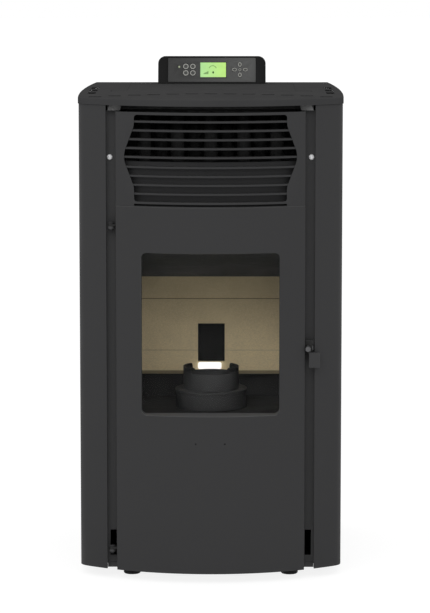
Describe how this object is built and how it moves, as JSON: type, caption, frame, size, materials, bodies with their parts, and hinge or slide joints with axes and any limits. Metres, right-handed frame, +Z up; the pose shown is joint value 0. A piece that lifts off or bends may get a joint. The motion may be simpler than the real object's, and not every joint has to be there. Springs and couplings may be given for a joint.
{
  "type": "pellet stove",
  "caption": "Tall freestanding pellet stove with a bowed charcoal steel casing, glazed front door, louvred warm-air grille, top hopper lid and rear control console.",
  "frame": {"origin": "middle of the footprint on the floor, under the feet", "axes": "+Z up, -Y out of the glazed front, +X to the right as seen from the front"},
  "size_m": [0.5576, 0.6664, 1.0663],
  "materials": {
    "casing_paint": "fine matt charcoal powder coat",
    "top_paint": "fine matt charcoal powder coat, slightly lighter",
    "inner_steel": "heat-resistant matt black paint on welded steel",
    "cast_iron": "raw cast iron, dark",
    "zinc": "bright zinc plate",
    "galvanised": "galvanised sheet",
    "cast_aluminium": "as cast",
    "liner_board": "beige vermiculite board, matt",
    "ceramic": "white alumina ceramic",
    "stove_glass": "clear ceramic glass",
    "rope_seal": "knitted glass rope, dark",
    "black_plastic": "black moulded plastic",
    "face_film": "grey printed film over a plate",
    "key_film": "grey key caps",
    "lcd": "lit green display",
    "led_lens": "clear lens",
    "circuit_board": "green circuit board"
  },
  "bodies": {
    "stove_body": {"base_pan": "inner_steel", "foot_front_left": "black_plastic", "foot_front_right": "black_plastic", "foot_rear_left": "black_plastic", "foot_rear_right": "black_plastic", "side_panel_left": "casing_paint", "side_panel_right": "casing_paint", "front_post_left": "casing_paint", "front_post_right": "casing_paint", "panel_screw_left": "zinc", "panel_screw_right": "zinc", "top_rail": "galvanised", "rear_panel": "casing_paint", "power_inlet": "black_plastic", "control_board": "circuit_board", "top_plate": "top_paint", "hopper": "galvanised", "feed_tube": "inner_steel", "auger_motor": "black_plastic", "firebox": "inner_steel", "smoke_duct": "inner_steel", "liner_lower": "liner_board", "liner_middle": "liner_board", "liner_upper": "liner_board", "firebox_baffle": "inner_steel", "igniter": "ceramic", "pot_support": "cast_iron", "heat_exchanger": "inner_steel", "exhaust_blower": "cast_aluminium", "air_inlet_pipe": "galvanised", "room_fan_housing": "galvanised", "front_grille": "casing_paint", "hinge_pin_lower": "inner_steel", "hinge_pin_upper": "inner_steel", "console_housing": "black_plastic", "console_face": "face_film", "lcd_display": "lcd", "status_led": "led_lens"},
    "hopper_lid": {"hopper_lid": "top_paint"},
    "door": {"door_skin": "casing_paint", "door_frame": "inner_steel", "door_glass": "stove_glass", "door_gasket": "rope_seal"},
    "latch": {"latch_spindle": "zinc", "latch_handle": "black_plastic"},
    "burn_pot": {"burn_pot": "cast_iron"},
    "ash_drawer": {"ash_drawer": "inner_steel"},
    "auger": {"auger_screw": "galvanised"},
    "exhaust_impeller": {"exhaust_impeller": "galvanised"},
    "room_fan_rotor": {"room_fan_rotor": "black_plastic"},
    "power_switch": {"power_switch": "black_plastic"},
    "key_upper_left": {"key_upper_left": "key_film"},
    "key_upper_right": {"key_upper_right": "key_film"},
    "key_lower_left": {"key_lower_left": "key_film"},
    "key_lower_right": {"key_lower_right": "key_film"},
    "key_up": {"key_up": "key_film"},
    "key_down": {"key_down": "key_film"},
    "key_left": {"key_left": "key_film"},
    "key_right": {"key_right": "key_film"},
    "key_ok": {"key_ok": "key_film"}
  },
  "joints": [
    {"name": "door_swing", "type": "hinge", "parent": "stove_body", "child": "door", "pos_m": [-0.2055, -0.27375, 0.4], "axis": [0, 0, -1], "range_deg": [0, 100]},
    {"name": "latch_turn", "type": "hinge", "parent": "door", "child": "latch", "pos_m": [0.202, -0.28175, 0.4875], "axis": [0, -1, 0], "range_deg": [0, 90]},
    {"name": "hopper_lid_hinge", "type": "hinge", "parent": "stove_body", "child": "hopper_lid", "pos_m": [0, 0.22025, 1], "axis": [-1, 0, 0], "range_deg": [0, 80]},
    {"name": "burn_pot_lift", "type": "slide", "parent": "stove_body", "child": "burn_pot", "axis": [0, 0, 1], "range_m": [0, 0.06]},
    {"name": "ash_drawer_slide", "type": "slide", "parent": "stove_body", "child": "ash_drawer", "axis": [0, -1, 0], "range_m": [0, 0.017]},
    {"name": "auger_turn", "type": "hinge", "parent": "stove_body", "child": "auger", "pos_m": [0, 0.20825, 0.44], "axis": [0, -0.6613, 0.7501], "continuous": true},
    {"name": "exhaust_impeller_turn", "type": "hinge", "parent": "stove_body", "child": "exhaust_impeller", "pos_m": [0.128, 0.13825, 0.18], "axis": [0, 1, 0], "continuous": true},
    {"name": "room_fan_turn", "type": "hinge", "parent": "stove_body", "child": "room_fan_rotor", "pos_m": [-0.1536, 0.15825, 0.13], "axis": [1, 0, 0], "continuous": true},
    {"name": "power_switch_rock", "type": "hinge", "parent": "stove_body", "child": "power_switch", "pos_m": [-0.1986, 0.28495, 0.375], "axis": [1, 0, 0], "range_deg": [-9, 9]},
    {"name": "key_upper_left_press", "type": "slide", "parent": "stove_body", "child": "key_upper_left", "axis": [0, 0.9397, -0.342], "range_m": [0, 0.0008], "stiffness_N_per_m": 800},
    {"name": "key_upper_right_press", "type": "slide", "parent": "stove_body", "child": "key_upper_right", "axis": [0, 0.9397, -0.342], "range_m": [0, 0.0008], "stiffness_N_per_m": 800},
    {"name": "key_lower_left_press", "type": "slide", "parent": "stove_body", "child": "key_lower_left", "axis": [0, 0.9397, -0.342], "range_m": [0, 0.0008], "stiffness_N_per_m": 800},
    {"name": "key_lower_right_press", "type": "slide", "parent": "stove_body", "child": "key_lower_right", "axis": [0, 0.9397, -0.342], "range_m": [0, 0.0008], "stiffness_N_per_m": 800},
    {"name": "key_up_press", "type": "slide", "parent": "stove_body", "child": "key_up", "axis": [0, 0.9397, -0.342], "range_m": [0, 0.0008], "stiffness_N_per_m": 800},
    {"name": "key_down_press", "type": "slide", "parent": "stove_body", "child": "key_down", "axis": [0, 0.9397, -0.342], "range_m": [0, 0.0008], "stiffness_N_per_m": 800},
    {"name": "key_left_press", "type": "slide", "parent": "stove_body", "child": "key_left", "axis": [0, 0.9397, -0.342], "range_m": [0, 0.0008], "stiffness_N_per_m": 800},
    {"name": "key_right_press", "type": "slide", "parent": "stove_body", "child": "key_right", "axis": [0, 0.9397, -0.342], "range_m": [0, 0.0008], "stiffness_N_per_m": 800},
    {"name": "key_ok_press", "type": "slide", "parent": "stove_body", "child": "key_ok", "axis": [0, 0.9397, -0.342], "range_m": [0, 0.0008], "stiffness_N_per_m": 800}
  ]
}
